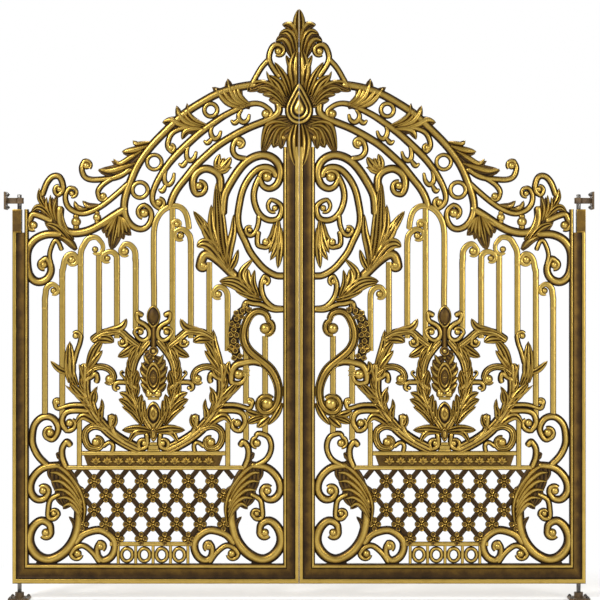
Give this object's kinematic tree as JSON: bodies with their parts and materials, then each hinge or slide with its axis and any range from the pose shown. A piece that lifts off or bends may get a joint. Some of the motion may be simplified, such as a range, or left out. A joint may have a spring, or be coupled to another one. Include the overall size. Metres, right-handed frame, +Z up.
{
  "type": "ornamental entrance gate",
  "caption": "Arched entrance gate of cast scrolls, leaf sprays and upright bars, with mirrored leaves that swing inward on pivots at the outer stiles.",
  "frame": {"origin": "underside of the left floor bearing, on the left pivot axis", "axes": "+X across the opening from the left pivot to the right one, +Y into the property, the way the leaves open, +Z up"},
  "size_m": [3.7, 0.13, 3.7136],
  "materials": {
    "antique_gold": "cast aluminium, antique gold on the ridges over a dark brown glaze in the recesses",
    "dark_steel": "plain machined steel, darkened"
  },
  "bodies": {
    "bearings": {"left_floor_bearing": "dark_steel", "right_floor_bearing": "dark_steel", "left_wall_bracket": "dark_steel", "right_wall_bracket": "dark_steel"},
    "left_leaf": {"left_hinge_stile": "antique_gold", "left_meeting_stile": "antique_gold", "left_bottom_rail": "antique_gold", "left_pivot_pins": "dark_steel", "left_finial": "antique_gold", "left_arch_leaves": "antique_gold", "left_shoulder_leaves": "antique_gold", "left_plume": "antique_gold", "left_medallion": "antique_gold", "left_wreath": "antique_gold", "left_arch_bars": "antique_gold", "left_shoulder_scrolls": "antique_gold", "left_lyre_scrolls": "antique_gold", "left_arch_rings": "antique_gold", "left_s_scroll": "antique_gold", "left_inner_console": "antique_gold", "left_outer_console": "antique_gold", "left_shelf": "antique_gold", "left_ring_frieze": "antique_gold", "left_lattice": "antique_gold", "left_upright_bars": "antique_gold"},
    "right_leaf": {"right_hinge_stile": "antique_gold", "right_meeting_stile": "antique_gold", "right_bottom_rail": "antique_gold", "right_pivot_pins": "dark_steel", "right_finial": "antique_gold", "right_arch_leaves": "antique_gold", "right_shoulder_leaves": "antique_gold", "right_plume": "antique_gold", "right_medallion": "antique_gold", "right_wreath": "antique_gold", "right_arch_bars": "antique_gold", "right_shoulder_scrolls": "antique_gold", "right_lyre_scrolls": "antique_gold", "right_arch_rings": "antique_gold", "right_s_scroll": "antique_gold", "right_inner_console": "antique_gold", "right_outer_console": "antique_gold", "right_shelf": "antique_gold", "right_ring_frieze": "antique_gold", "right_lattice": "antique_gold", "right_upright_bars": "antique_gold"}
  },
  "joints": [
    {"name": "left_swing", "type": "hinge", "parent": "bearings", "child": "left_leaf", "pos_m": [0, 0, 0], "axis": [0, 0, 1], "range_deg": [0, 90]},
    {"name": "right_swing", "type": "hinge", "parent": "bearings", "child": "right_leaf", "pos_m": [3.516, 0, 0], "axis": [0, 0, -1], "range_deg": [0, 90]}
  ]
}
